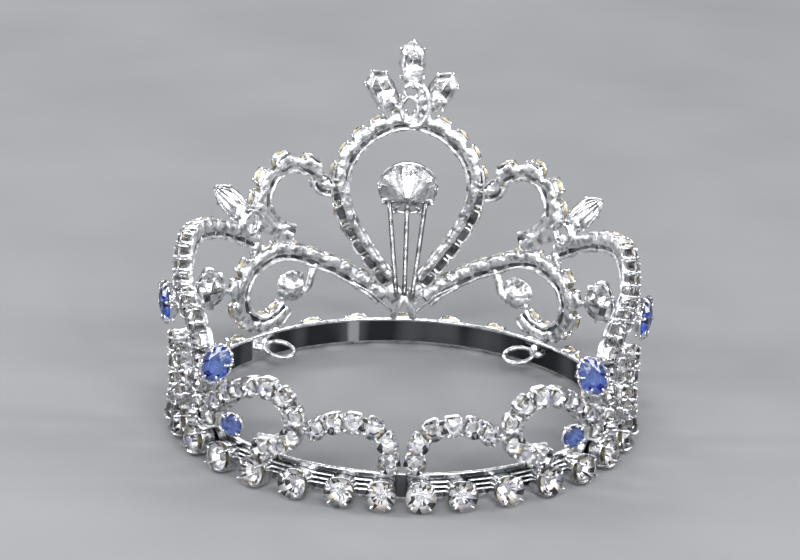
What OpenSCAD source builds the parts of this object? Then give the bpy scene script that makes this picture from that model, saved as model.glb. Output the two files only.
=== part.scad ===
// Mini crown: a full-circle rhinestone crown of soldered cup chain on a flat metal band.
// The origin is on the surface the crown stands on, at the axis of the band.
// +Z is up and -Y is the front of the crown, so +X is the wearer's left.
// Places on the wall are given as an angle round the crown, from the front, and a height.

/* [Band] */
// Outer diameter of the band
band_d = 66; // [60:1:72]
// Height of the band's strip
band_h = 4.3; // [3.5:0.1:5]
// Thickness of the band's strip
band_t = 0.5; // [0.4:0.1:0.8]
// Height of the band's lower edge above the surface
band_lift = 0.8; // [0.5:0.1:1]
// Outer diameter of a pin loop
loop_d = 5.6; // [5:0.1:6]
// Wire of a pin loop
loop_wire = 0.75; // [0.6:0.05:0.9]
// Angle of the left pin loop from the front
loop_left = 43.5; // [38:0.5:46]
// Angle of the right pin loop from the front
loop_right = 40.5; // [38:0.5:46]
// Height of the pin loops above the band's lower edge
loop_rise = 2.1; // [1:0.1:3.5]
// How far the pin loops slope down from the band, in degrees
loop_slope = 14; // [0:1:20]

/* [Base row] */
// Diameter of a cup in the base row
row_cup_d = 4.3; // [4:0.1:4.4]
// Depth of a cup in the base row
row_cup_h = 2.9; // [2.4:0.1:3.2]
// Height of the stone above its cup
row_stone_h = 1.4; // [1:0.1:1.5]
// How far the cups of the base row look up, in degrees
row_tip = 8; // [6:0.5:9]

/* [Cup chain] */
// Width of the chain along the wall
chain_w = 2.9; // [2.6:0.1:3]
// Depth of the chain across the wall
chain_depth = 3.2; // [2.8:0.1:3.3]
// Gap between the band and the chain's back
chain_gap = 0.5; // [0.4:0.1:0.8]
// Corner cut of the chain's section
chain_chamfer = 0.6; // [0.3:0.1:0.9]

/* [Stones] */
// Diameter of the round centre stone
centre_d = 9; // [8:0.5:9.5]
// Height of the centre stone above the surface
centre_z = 26.7; // [26:0.1:28]
// Width of a long pointed stone in the spray on top
leaf_w = 3.9; // [3.5:0.1:4]
// Length of a long pointed stone in the spray on top
leaf_l = 7; // [6.8:0.1:7.2]
// Width of an oval stone
oval_w = 4.2; // [4:0.1:4.4]
// Length of an oval stone
oval_l = 6.2; // [6:0.1:6.4]
// Length of the long oval stone on each shoulder
drop_l = 7; // [6.8:0.1:7.2]
// Diameter of the stone that hangs inside each arm's curl
arm_eye_d = 5; // [4.6:0.1:5.2]
// Diameter of the blue stone beside each arm's curl
side_eye_d = 6.2; // [5.8:0.1:6.4]
// Diameter of the small blue stone in each back loop
back_eye_d = 3.6; // [3.4:0.1:3.8]

/* [Hidden] */
$fn = 96;
fit = 0.05;
cup_wall = 0.35;
claw_r = 0.3;
wire_r = 0.5;
band_r = band_d / 2;
band_top = band_lift + band_h;
wall_r = band_r + chain_gap + chain_depth / 2;
back_r = band_r + chain_gap;
row_z = row_cup_d / 2 * cos(row_tip);
pavilion = 0.42;
girdle = 0.06;
crown = 0.17;
table = 0.55;
smooth = 3;

metal = "silver";
clear = "aliceblue";
blue = "royalblue";

// Routes of the chains, each point as [angle from the front in degrees, height]
front_route = [
    [2.6, 9.6], [6, 12.6], [10, 15.8], [14.6, 20], [18, 24], [19.4, 28], [18.6, 31.6],
    [15.4, 34.9], [11, 37.3], [6, 38.8], [0, 39.4]
];
arm_route = [
    [6.4, 8.4], [10.6, 10.5], [16, 12.7], [21, 14.5], [26, 15.8], [32, 17.4], [38.5, 18.2],
    [44.5, 17.4], [49.2, 15.8], [52.2, 12.5], [51, 9.2], [47.4, 7], [43, 6.3], [38.6, 6.9], [35.8, 8.4]
];
shoulder_route = [
    [22.4, 28.2], [25.4, 28.8], [27.4, 31.4], [31.6, 32.8], [36.4, 33.2], [41.6, 31.6],
    [44.2, 28.2], [43.2, 25.2], [40, 23], [36, 21.6], [34, 21.2]
];
side_arch_route = [
    [46.8, 21], [51, 22.4], [57, 24.2], [65, 25.9], [74, 27.2], [82, 27.2], [90, 25.6],
    [98, 23.6], [106, 22.4], [113, 21], [117.6, 18.2], [118.6, 14.6], [117.4, 11], [117.6, 7.4]
];
side_scroll_route = [
    [95.8, 15], [95.2, 12.8], [95.8, 10.2], [98.6, 7.4], [103.4, 6.4],
    [108, 7.4], [110.6, 10.4], [109, 13.4], [105, 14.2]
];
back_loop_route = [
    [140.8, 6.2], [146.6, 6.9], [151.4, 8.9], [152.7, 11.8], [150.6, 14.6], [145.6, 16],
    [139.6, 15.4], [133.8, 13.6], [129, 11.5], [124.8, 8.8], [124.4, 6]
];
back_arch_route = [
    [176.4, 6], [176.8, 8.4], [175.9, 10.7], [173.2, 12.5], [169, 13.1], [164.4, 13],
    [160.4, 12.1], [156.6, 10.6]
];

// Angles of the stones in the base row from the front to the back, on each side
row_angles = [0, 12.9, 25.8, 38.5, 51, 63, 74.4, 85.2, 95.8, 106.6, 118, 130, 141.8, 153.6, 165.4, 175.3];

// Places of the single stones and rings, each as [angle from the front, height]
arm_eye_at = [32.1, 11];
side_eye_at = [62.2, 14.8];
drop_at = [51.9, 27.8];
side_oval_at = [94.6, 19.6];
back_eye_at = [134, 8.4];
back_oval_at = [128.4, 17.1];
drop_ring_at = [50.4, 25.1];
spray_ring_at = [-1, 42.5];
spray_ring_d = 8.2;
spray_ring_wire = 1;
spray_ring_narrowing = 0.69;
spray_hooks = [[[-0.4, 45.9], [-0.4, 45.9]], [[-4.6, 41.6], [-4.6, 41.6]], [[3.4, 42], [5.2, 42.6]]];
spray_hook_r = 0.55;
drop_ring_d = 4.4;
drop_ring_wire = 0.8;
drop_hook = [[48, 26.2], [50, 27]];
arm_eye_stem = [[29.9, 11.7], [27.9, 14.4]];
side_eye_stem = [[60, 14.4], [55.1, 13.4]];
side_oval_stem = [[94.3, 21.9], [94.3, 22.75]];
back_oval_stem = [[128.8, 14.1], [129.2, 15.4]];
stem_r = 0.45;
leaf_top_at = [0, 49];
leaf_side_at = [7.8, 44.3];
leaf_side_lean = 30;

// A point on the wall at radius r
function on_wall(p, r) = [r * sin(p[0]), -r * cos(p[0]), p[1]];

// A smooth curve through the points of a route
function spline_point(a, b, c, d, t) =
    0.5 * (2 * b + (c - a) * t + (2 * a - 5 * b + 4 * c - d) * t * t
           + (3 * b - a - 3 * c + d) * t * t * t);
function route_end(p, q) = 2 * p - q;
function smooth_route(p, steps) =
    let (n = len(p), q = concat([route_end(p[0], p[1])], p, [route_end(p[n - 1], p[n - 2])]))
    concat(
        [for (i = [0 : n - 2], s = [0 : steps - 1])
            spline_point(q[i], q[i + 1], q[i + 2], q[i + 3], s / steps)],
        [p[n - 1]]
    );
function mirrored(p) = [for (q = p) [-q[0], q[1]]];
function reversed(p) = [for (i = [len(p) - 1 : -1 : 0]) p[i]];
function unit(v) = v / norm(v);

// One section of the chain: a cut-cornered rectangle across the route
function section(w, d, c) = [
    [w / 2, c - d / 2], [w / 2, d / 2 - c], [w / 2 - c, d / 2], [c - w / 2, d / 2],
    [-w / 2, d / 2 - c], [-w / 2, c - d / 2], [c - w / 2, -d / 2], [w / 2 - c, -d / 2]
];
function section_at(path, i, w, r) =
    let (
        here = on_wall(path[i], r),
        before = on_wall(path[max(i - 1, 0)], r),
        after = on_wall(path[min(i + 1, len(path) - 1)], r),
        out = [sin(path[i][0]), -cos(path[i][0]), 0],
        along = unit(after - before),
        across = unit(cross(along, out))
    )
    [for (s = section(w, chain_depth, chain_chamfer)) here + across * s[0] + out * s[1]];

// A cup chain as one bar along its route. thin is the share of the width kept at each end.
module chain(route, thin = [1, 1], r = wall_r) {
    path = smooth_route(route, smooth);
    n = len(path);
    sides = 8;
    width = [for (i = [0 : n - 1])
        chain_w * (i < smooth ? thin[0] : i > n - 1 - smooth ? thin[1] : 1)];
    points = [for (i = [0 : n - 1], p = section_at(path, i, width[i], r)) p];
    skin = [for (i = [0 : n - 2], k = [0 : sides - 1])
        let (a = i * sides + k, b = i * sides + (k + 1) % sides)
        each [[a, b, b + sides], [a, b + sides, a + sides]]];
    first = [for (k = [sides - 1 : -1 : 0]) k];
    last = [for (k = [0 : sides - 1]) (n - 1) * sides + k];
    polyhedron(points, concat(skin, [first, last]), convexity = 8);
}

// Puts its child on the wall with the child's +Z pointing out of the crown
module place(at, r, lean = 0, tip = 0, turn = 0) {
    translate(on_wall(at, r))
        rotate([0, 0, at[0] + turn])
            rotate([90 - tip, 0, 0])
                rotate([0, 0, lean])
                    children();
}

// Round stone with its widest line at z = 0
module round_gem(d) {
    rotate_extrude()
        polygon([[0, -pavilion * d], [d / 2, 0], [d / 2, girdle * d],
                 [table * d / 2, (girdle + crown) * d], [0, (girdle + crown) * d]]);
}

// Cup of a round stone, closed behind, with its claws, before the seat is cut
module round_blank(d, claws = 4, first = 45) {
    rotate_extrude()
        polygon([[0, -pavilion * d - cup_wall], [0.16 * d, -pavilion * d - cup_wall],
                 [0.36 * d, -0.6 * pavilion * d - cup_wall],
                 [d / 2 + cup_wall, -cup_wall], [d / 2 + cup_wall, 0], [0, 0]]);
    for (i = [0 : claws - 1])
        rotate([0, 0, first + i * 360 / claws])
            translate([d / 2 + 0.6 * claw_r, 0, -2 * cup_wall])
                cylinder(h = 2 * cup_wall + (girdle + crown / 2) * d, r = claw_r, $fn = 24);
}

// Space for a round stone
module round_seat(d) {
    rotate_extrude()
        polygon([[0, -pavilion * d - fit], [d / 2 + fit, 0], [d / 2 + fit, d], [0, d]]);
}

module round_cup(d) {
    difference() {
        round_blank(d);
        round_seat(d);
    }
}

module oval_gem(w, l) {
    scale([1, l / w, 1]) round_gem(w, $fn = 12);
}

module oval_cup(w, l) {
    scale([1, l / w, 1])
        rotate_extrude()
            polygon([[0.4 * w, -pavilion * w - fit], [w / 2 + cup_wall, -2 * cup_wall],
                     [w / 2 + cup_wall, 0], [w / 2 + fit, 0], [0.4 * w - cup_wall, -pavilion * w - fit]]);
    for (x = [-1, 1], y = [-1, 1])
        translate([x * (0.36 * w + claw_r), y * (0.36 * l + claw_r), -cup_wall])
            cylinder(h = cup_wall + girdle * w, r = claw_r, $fn = 24);
}

// Radius of the two arcs that meet in a long pointed outline
function leaf_radius(w, l) = (w * w + l * l) / (4 * w);

// Half of a long pointed solid is cut by each of two large round solids
module leaf_solid(w, l, profile) {
    r = leaf_radius(w, l);
    intersection_for (side = [-1, 1])
        translate([side * (r - w / 2), 0, 0])
            rotate_extrude($fn = 96)
                polygon([for (p = profile) [p[0] == 0 ? 0 : r - w / 2 + p[0], p[1]]]);
}

module leaf_gem(w, l) {
    leaf_solid(w, l, [[0, -0.4 * w], [0.15, -0.4 * w], [w / 2, 0], [w / 2, girdle * w],
                      [table * w / 2, (girdle + crown) * w], [0, (girdle + crown) * w]]);
}

// Boat-shaped cup, closed behind
module leaf_cup(w, l) {
    difference() {
        leaf_solid(w + 2 * cup_wall, l + 4 * cup_wall,
                   [[0, -0.4 * w - cup_wall], [0.3, -0.4 * w - cup_wall],
                    [w / 2 + cup_wall, -cup_wall], [w / 2 + cup_wall, 0], [0, 0]]);
        leaf_solid(w + 2 * fit, l + 4 * fit,
                   [[0, -0.4 * w - fit], [0.15, -0.4 * w - fit], [w / 2 + fit, 0],
                    [w / 2 + fit, 1], [0, 1]]);
    }
}

// Straight round wire between two points
module wire(a, b, r = wire_r) {
    v = b - a;
    translate(a)
        rotate([0, acos(v[2] / norm(v)), atan2(v[1], v[0])])
            cylinder(h = norm(v), r = r, $fn = 24);
}

// Flat ring of round wire
module ring(d, wire_d) {
    rotate_extrude()
        translate([(d - wire_d) / 2, 0])
            circle(d = wire_d, $fn = 24);
}

module band() {
    color(metal)
        translate([0, 0, band_lift])
            difference() {
                cylinder(h = band_h, r = band_r, $fn = 180);
                translate([0, 0, -1]) cylinder(h = band_h + 2, r = band_r - band_t, $fn = 180);
            }
}

// Loop for a hair pin, lying flat against the inside of the band
module pin_loop(angle) {
    color(metal)
        rotate([0, 0, angle])
            translate([0, band_t + loop_d / 2 + fit - band_r, band_lift + loop_rise])
                rotate([-loop_slope, 0, 0])
                    ring(loop_d, loop_wire);
}

function row_angle(k) = sign(k) * row_angles[abs(k)];

// Cups and stones of the base row from one stone to another, with the bars between them
module base_row(from, to) {
    color(metal) {
        for (k = [from : to])
            place([row_angle(k), row_z], band_r + fit + row_cup_d / 2 * sin(row_tip), 0, row_tip) {
                cylinder(h = row_cup_h, d = row_cup_d);
                translate([0, 0, row_cup_h])
                    cylinder(h = row_stone_h, d1 = 0.93 * row_cup_d, d2 = table * row_cup_d);
            }
        for (k = [from : to - 1])
            let (mid = (row_angle(k) + row_angle(k + 1)) / 2,
                 span = 2 * band_r * sin((row_angle(k + 1) - row_angle(k)) / 2))
            place([mid, row_z + 0.28 * row_cup_d], band_r + 0.2 * row_cup_h)
                translate([0, 0, 0.2 * row_cup_h])
                    cube([span - 0.7 * row_cup_d, 0.9, 0.7], center = true);
    }
}

module front_loop() {
    color(metal)
        chain(concat(front_route, reversed(mirrored([for (i = [0 : len(front_route) - 2])
            front_route[i]]))));
}

centre_r = back_r + pavilion * centre_d + cup_wall;
centre_tip = 12;
// The cross wire that the three posts stand on: half its length, and its height
foot = [1.35, 9.2];
foot_r = band_r - 1;
foot_wire_r = 0.6;
// The two feet below it, from the cross wire to the band's rim
feet_top_x = 0.4;
feet_low_x = 1.7;
feet_wire_r = 0.4;
rim_r = band_r - band_t / 2;
// The upper ends of the posts, as places on the back of the centre cup
post_r = centre_r - 0.8;
post_x = 3;
post_drop = [2.7, 3.7, 2.7];

// Lower and upper end of one of the three wires from the band to the centre cup
function post_low(side) = [side * foot[0], -foot_r, foot[1]];
function post_high(side) = [side * post_x, -post_r, centre_z - post_drop[side + 1]];

module centre_place() {
    place([0, centre_z], centre_r, 0, centre_tip) children();
}

// Cup of the centre stone on its three wires, with the two feet on the band's rim
module centre_setting() {
    color(metal)
        difference() {
            union() {
                centre_place() round_blank(centre_d, 6, 0);
                for (side = [-1, 0, 1])
                    wire(post_low(side), post_high(side));
                wire(post_low(-1), post_low(1), foot_wire_r);
                for (side = [-1, 1])
                    wire([side * feet_top_x, -foot_r, foot[1]],
                         [side * feet_low_x, -rim_r, band_top + 4 * fit], feet_wire_r);
            }
            centre_place() round_seat(centre_d);
        }
}

module centre_stone() {
    color(clear) centre_place() round_gem(centre_d);
}

leaf_r = back_r + 0.4 * leaf_w + cup_wall;
ring_r = band_r - 0.15;
spray_hook_end_r = back_r + 1;

module leaf_places() {
    place(leaf_top_at, leaf_r) children();
    for (side = [-1, 1])
        place([side * leaf_side_at[0], leaf_side_at[1]], leaf_r, -side * leaf_side_lean) children();
}

// Spray on top: three boat-shaped cups soldered on an upright oval ring
module spray_setting() {
    color(metal) {
        leaf_places() leaf_cup(leaf_w, leaf_l);
        place(spray_ring_at, ring_r)
            scale([spray_ring_narrowing, 1, 1]) ring(spray_ring_d, spray_ring_wire);
        for (ends = spray_hooks)
            wire(on_wall(ends[0], ring_r), on_wall(ends[1], spray_hook_end_r), spray_hook_r);
    }
}

module spray_stone_top() {
    color(clear) place(leaf_top_at, leaf_r) leaf_gem(leaf_w, leaf_l);
}

module spray_stone(side) {
    color(clear)
        place([side * leaf_side_at[0], leaf_side_at[1]], leaf_r, -side * leaf_side_lean)
            leaf_gem(leaf_w, leaf_l);
}

// The modules below are the wearer's left side; the right side is its mirror image
module arm() {
    color(metal) chain(arm_route, [0.45, 1]);
}

eye_r = back_r + pavilion * arm_eye_d + cup_wall;
// Radius of the wire that holds the arm's stone
eye_stem_r = back_r + 1;

module arm_eye_setting() {
    color(metal) {
        place(arm_eye_at, eye_r) round_cup(arm_eye_d);
        wire(on_wall(arm_eye_stem[0], eye_stem_r), on_wall(arm_eye_stem[1], eye_stem_r), 0.9 * stem_r);
    }
}

module arm_eye_stone() {
    color(clear) place(arm_eye_at, eye_r) round_gem(arm_eye_d);
}

module shoulder() {
    color(metal) chain(shoulder_route, [0.6, 1]);
}

// Space between the chains' backs and the deepest point of the drop's cup
drop_space = 1.4;
drop_r = back_r + pavilion * oval_w + drop_space;
drop_hook_r = back_r + 0.6;
drop_lean = -32;
drop_tip = -30;

// Cup of the blue drop on a small open ring behind the shoulder
module drop_setting() {
    color(metal) {
        place(drop_at, drop_r, drop_lean, drop_tip) oval_cup(oval_w, drop_l);
        place(drop_ring_at, ring_r) ring(drop_ring_d, drop_ring_wire);
        wire(on_wall(drop_hook[0], ring_r), on_wall(drop_hook[1], drop_hook_r), stem_r);
    }
}

module drop_stone() {
    color(blue) place(drop_at, drop_r, drop_lean, drop_tip) oval_gem(oval_w, drop_l);
}

module side_arch() {
    color(metal) chain(side_arch_route);
}

side_eye_r = back_r + pavilion * side_eye_d + cup_wall;
side_eye_stem_r = back_r + 0.8;

module side_eye_setting() {
    color(metal) {
        place(side_eye_at, side_eye_r) round_cup(side_eye_d);
        wire(on_wall(side_eye_stem[0], side_eye_stem_r), on_wall(side_eye_stem[1], side_eye_stem_r), stem_r);
    }
}

module side_eye_stone() {
    color(blue) place(side_eye_at, side_eye_r) round_gem(side_eye_d);
}

scroll_r = wall_r + 0.7;

module side_scroll() {
    color(metal) chain(side_scroll_route, r = scroll_r);
}

side_oval_r = back_r + 3.7;
side_oval_stem_r = side_oval_r - 1.2;
side_oval_lean = 15;
side_oval_turn = 20;

module side_oval_setting() {
    color(metal) {
        place(side_oval_at, side_oval_r, side_oval_lean, 0, side_oval_turn) oval_cup(oval_w, oval_l);
        wire(on_wall(side_oval_stem[0], side_oval_stem_r),
             on_wall(side_oval_stem[1], side_oval_stem_r), stem_r);
    }
}

module side_oval_stone() {
    color(blue)
        place(side_oval_at, side_oval_r, side_oval_lean, 0, side_oval_turn) oval_gem(oval_w, oval_l);
}

module back_loop() {
    color(metal) chain(back_loop_route);
}

back_eye_r = back_r + pavilion * back_eye_d + cup_wall;
back_turn = 18;

module back_eye_setting() {
    color(metal) place(back_eye_at, back_eye_r, 0, 0, back_turn) round_cup(back_eye_d);
}

module back_eye_stone() {
    color(blue) place(back_eye_at, back_eye_r, 0, 0, back_turn) round_gem(back_eye_d);
}

back_oval_r = back_r + pavilion * oval_w + cup_wall;
back_oval_lean = -34;
back_oval_tip = 5;
back_oval_turn = 24;
back_oval_stem_r = back_r + 1;

module back_oval_setting() {
    color(metal) {
        place(back_oval_at, back_oval_r, back_oval_lean, back_oval_tip, back_oval_turn)
            oval_cup(oval_w, oval_l);
        wire(on_wall(back_oval_stem[0], back_oval_stem_r),
             on_wall(back_oval_stem[1], back_oval_stem_r), stem_r);
    }
}

module back_oval_stone() {
    color(blue)
        place(back_oval_at, back_oval_r, back_oval_lean, back_oval_tip, back_oval_turn)
            oval_gem(oval_w, oval_l);
}

module back_arch() {
    color(metal) chain(back_arch_route);
}

module right() {
    mirror([1, 0, 0]) children();
}

band();
pin_loop(loop_left);  // pin_loop_left
pin_loop(-loop_right);  // pin_loop_right
base_row(-3, 3);  // base_row_front
base_row(4, 10);  // base_row_left
base_row(-10, -4);  // base_row_right
base_row(11, 15);  // base_row_back_left
base_row(-15, -11);  // base_row_back_right
front_loop();
centre_setting();
centre_stone();
spray_setting();
spray_stone_top();
spray_stone(1);  // spray_stone_left
spray_stone(-1);  // spray_stone_right
arm();  // arm_left
right() arm();  // arm_right
arm_eye_setting();  // arm_eye_setting_left
right() arm_eye_setting();  // arm_eye_setting_right
arm_eye_stone();  // arm_eye_stone_left
right() arm_eye_stone();  // arm_eye_stone_right
shoulder();  // shoulder_left
right() shoulder();  // shoulder_right
drop_setting();  // drop_setting_left
right() drop_setting();  // drop_setting_right
drop_stone();  // drop_stone_left
right() drop_stone();  // drop_stone_right
side_arch();  // side_arch_left
right() side_arch();  // side_arch_right
side_eye_setting();  // side_eye_setting_left
right() side_eye_setting();  // side_eye_setting_right
side_eye_stone();  // side_eye_stone_left
right() side_eye_stone();  // side_eye_stone_right
side_scroll();  // side_scroll_left
right() side_scroll();  // side_scroll_right
side_oval_setting();  // side_oval_setting_left
right() side_oval_setting();  // side_oval_setting_right
side_oval_stone();  // side_oval_stone_left
right() side_oval_stone();  // side_oval_stone_right
back_loop();  // back_loop_left
right() back_loop();  // back_loop_right
back_eye_setting();  // back_eye_setting_left
right() back_eye_setting();  // back_eye_setting_right
back_eye_stone();  // back_eye_stone_left
right() back_eye_stone();  // back_eye_stone_right
back_oval_setting();  // back_oval_setting_left
right() back_oval_setting();  // back_oval_setting_right
back_oval_stone();  // back_oval_stone_left
right() back_oval_stone();  // back_oval_stone_right
back_arch();  // back_arch_left
right() back_arch();  // back_arch_right
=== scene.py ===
"""Mini crown: soldered cup chain with clear and blue stones on a flat metal band.

The shapes are worked out in millimetres in the CAD frame: the origin is on the floor at
the axis of the band, +Z is up, -Y is the front. A place on the wall is an angle round the
crown, from the front, and a height. The wearer's right side is the left side mirrored.
"""

import math
import random

import bmesh
import bpy
import numpy as np
from mathutils import Matrix, Vector, noise


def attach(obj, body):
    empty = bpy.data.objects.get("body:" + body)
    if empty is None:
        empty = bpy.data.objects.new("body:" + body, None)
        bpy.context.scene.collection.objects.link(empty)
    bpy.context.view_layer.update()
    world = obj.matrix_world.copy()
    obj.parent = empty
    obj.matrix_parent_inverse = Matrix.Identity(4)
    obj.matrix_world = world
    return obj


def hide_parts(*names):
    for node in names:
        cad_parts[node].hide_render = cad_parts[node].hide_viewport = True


MM = 0.001
TAU = 2 * math.pi

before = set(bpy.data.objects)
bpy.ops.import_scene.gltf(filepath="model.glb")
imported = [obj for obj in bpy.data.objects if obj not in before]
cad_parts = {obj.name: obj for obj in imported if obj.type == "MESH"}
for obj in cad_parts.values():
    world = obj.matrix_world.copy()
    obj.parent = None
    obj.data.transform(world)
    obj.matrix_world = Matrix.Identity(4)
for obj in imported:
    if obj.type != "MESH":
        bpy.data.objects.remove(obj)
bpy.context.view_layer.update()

# Sizes that the CAD part sets, in millimetres
BAND_R = 33.0
BAND_H = 4.3
BAND_LIFT = 0.8
BACK_R = 33.5
ROUTE_R = 35.1
ROW_CUP_D = 4.3
ROW_TIP = 8.0
ROW_Z = ROW_CUP_D / 2 * math.cos(math.radians(ROW_TIP))
ROW_R = BAND_R + 0.05 + ROW_CUP_D / 2 * math.sin(math.radians(ROW_TIP))
CENTRE_D = 9.0
LEAF_W, LEAF_L = 3.9, 7.0
OVAL_W, OVAL_L, DROP_L = 4.2, 6.2, 7.0
ARM_EYE_D, SIDE_EYE_D, BACK_EYE_D = 5.0, 6.2, 3.6
PAVILION = 0.42
WALL = 0.35

# Routes of the chains on the wall, each point as (angle in degrees, height)
FRONT = [(2.6, 9.6), (6, 12.6), (10, 15.8), (14.6, 20), (18, 24), (19.4, 28), (18.6, 31.6),
         (15.4, 34.9), (11, 37.3), (6, 38.8), (0, 39.4)]
ARM = [(6.4, 8.4), (10.6, 10.5), (16, 12.7), (21, 14.5), (26, 15.8), (32, 17.4), (38.5, 18.2),
       (44.5, 17.4), (49.2, 15.8), (52.2, 12.5), (51, 9.2), (47.4, 7), (43, 6.3), (38.6, 6.9),
       (35.8, 8.4)]
SHOULDER = [(22.4, 28.2), (25.4, 28.8), (27.4, 31.4), (31.6, 32.8), (36.4, 33.2), (41.6, 31.6),
            (44.2, 28.2), (43.2, 25.2), (40, 23), (36, 21.6), (34, 21.2)]
SIDE_ARCH = [(46.8, 21), (51, 22.4), (57, 24.2), (65, 25.9), (74, 27.2), (82, 27.2), (90, 25.6),
             (98, 23.6), (106, 22.4), (113, 21), (117.6, 18.2), (118.6, 14.6), (117.4, 11),
             (117.6, 7.4)]
SCROLL = [(95.8, 15), (95.2, 12.8), (95.8, 10.2), (98.6, 7.4), (103.4, 6.4), (108, 7.4),
          (110.6, 10.4), (109, 13.4), (105, 14.2)]
BACK_LOOP = [(140.8, 6.2), (146.6, 6.9), (151.4, 8.9), (152.7, 11.8), (150.6, 14.6), (145.6, 16),
             (139.6, 15.4), (133.8, 13.6), (129, 11.5), (124.8, 8.8), (124.4, 6)]
BACK_ARCH = [(176.4, 6), (176.8, 8.4), (175.9, 10.7), (173.2, 12.5), (169, 13.1), (164.4, 13),
             (160.4, 12.1), (156.6, 10.6)]

# Angles of the stones in the base row from the front to the back
ROW_ANGLES = [0, 12.9, 25.8, 38.5, 51, 63, 74.4, 85.2, 95.8, 106.6, 118, 130, 141.8, 153.6,
              165.4, 175.3]

# Material numbers of the metal pieces and of the stones; number 3 is a darkened silver that paints shade
# and dark reflections
PLATE, SOLDERED, DRAWN, PAINTED_SHADE, POLISHED = 0, 1, 2, 3, 4
GLASS, FOIL, LACQUER = 0, 1, -1


# Shapes: each is a list of points, a list of faces, a material number per face and a smooth flag
class Shape:
    def __init__(self, points, faces, mats=None, smooth=True):
        self.points = np.asarray(points, float)
        self.faces = faces
        self.mats = mats or [0] * len(faces)
        self.smooth = [smooth] * len(faces) if isinstance(smooth, bool) else smooth


def joined(*shapes):
    points, faces, mats, smooth, n = [], [], [], [], 0
    for s in shapes:
        points.append(s.points)
        faces += [tuple(i + n for i in f) for f in s.faces]
        mats += s.mats
        smooth += s.smooth
        n += len(s.points)
    return Shape(np.concatenate(points), faces, mats, smooth)


def moved(shape, matrix):
    m = np.array(matrix)
    points = shape.points @ m[:3, :3].T + m[:3, 3]
    faces = shape.faces
    if np.linalg.det(m[:3, :3]) < 0:
        faces = [f[::-1] for f in faces]
    return Shape(points, faces, shape.mats, shape.smooth)


def mirrored(shape):
    return moved(shape, Matrix.Scale(-1, 4, (1, 0, 0)))


def made_of(shape, mat):
    return Shape(shape.points, shape.faces, [mat] * len(shape.faces), shape.smooth)


def soldered(*shapes):
    return made_of(joined(*shapes), SOLDERED)


def drawn(*shapes):
    return made_of(joined(*shapes), DRAWN)


def loft(rings, closed=False):
    """Closed skin over rings of points that all have the same number of points."""
    n = len(rings[0])
    faces = []
    spans = len(rings) if closed else len(rings) - 1
    for i in range(spans):
        a, b = i * n, (i + 1) % len(rings) * n
        faces += [(a + k, a + (k + 1) % n, b + (k + 1) % n, b + k) for k in range(n)]
    if not closed:
        faces.append(tuple(range(n - 1, -1, -1)))
        faces.append(tuple((len(rings) - 1) * n + k for k in range(n)))
    return Shape(np.concatenate(rings), faces)


def uneven(p, scale, seed=0.0):
    """Smooth random number from about -0.5 to 0.5 for a place in millimetres."""
    return noise.noise(Vector(p) * scale + Vector((seed, 1.7 * seed, 0)))


def tube(points, radii, sides=8):
    """Round wire with rounded ends through the points."""
    pts = [Vector(p) for p in points]
    radii = list(radii) if hasattr(radii, "__len__") else [radii] * len(pts)
    first, last = (pts[1] - pts[0]).normalized(), (pts[-1] - pts[-2]).normalized()
    pts = [pts[0] - first * radii[0] * 0.6] + pts + [pts[-1] + last * radii[-1] * 0.6]
    radii = [radii[0] * 0.55] + radii + [radii[-1] * 0.55]
    side = first.orthogonal().normalized()
    rings = []
    for i, (p, r) in enumerate(zip(pts, radii)):
        along = (pts[min(i + 1, len(pts) - 1)] - pts[max(i - 1, 0)]).normalized()
        side = (side - along * side.dot(along)).normalized()
        other = along.cross(side)
        turns = [TAU * k / sides for k in range(sides)]
        rings.append(np.array([p + (side * math.cos(a) + other * math.sin(a)) * r for a in turns]))
    return loft(rings)


def line(a, b, r, steps=6, lumps=0.0, sides=10):
    """Straight wire; lumps makes its thickness uneven."""
    a, b = Vector(a), Vector(b)
    pts = [a.lerp(b, i / steps) for i in range(steps + 1)]
    return tube(pts, [r * (1 + lumps * uneven(p, 0.9)) for p in pts], sides)


def hoop(width, height, wire, lumps=0.0, steps=48, sides=10):
    """Closed ring of round wire in the XY plane; lumps makes its thickness uneven."""
    rings = []
    for i in range(steps):
        a = TAU * i / steps
        out = np.array([math.cos(a), math.sin(a), 0])
        centre = out * np.array([(width - wire) / 2, (height - wire) / 2, 0])
        r = wire / 2 * (1 + lumps * uneven(centre, 0.8, width))
        rings.append(np.array([centre + out * math.cos(TAU * k / sides) * r
                               + np.array([0, 0, 1]) * math.sin(TAU * k / sides) * r
                               for k in range(sides)]))
    return loft(rings, closed=True)


def blob(centre, size, seed=0.0, lumps=0.5):
    """Lump of solder."""
    rings = []
    for i in range(1, 8):
        lat = math.pi * i / 8
        ring = []
        for k in range(12):
            a = TAU * k / 12
            d = Vector((math.sin(lat) * math.cos(a), math.sin(lat) * math.sin(a), -math.cos(lat)))
            swell = 1 + lumps * uneven(d, 1.3, seed)
            ring.append(np.array(centre) + np.array(d) * np.array(size) * swell)
        rings.append(np.array(ring))
    return loft(rings)


# Outlines: each gives the boundary point at an angle
def superellipse(half_x, half_y, power=2.0):
    def outline(t):
        c, s = math.cos(t), math.sin(t)
        r = (abs(c) ** power + abs(s) ** power) ** (-1 / power)
        return half_x * r * c, half_y * r * s
    return outline


def pointed(width, length):
    """Outline of two arcs that meet in a point at each end."""
    radius = (width * width + length * length) / (4 * width)

    def outline(t):
        y = math.sin(t) * length / 2
        x = math.sqrt(max(radius * radius - y * y, 0)) - (radius - width / 2)
        return math.copysign(max(x, 0), math.cos(t)), y
    return outline


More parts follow.
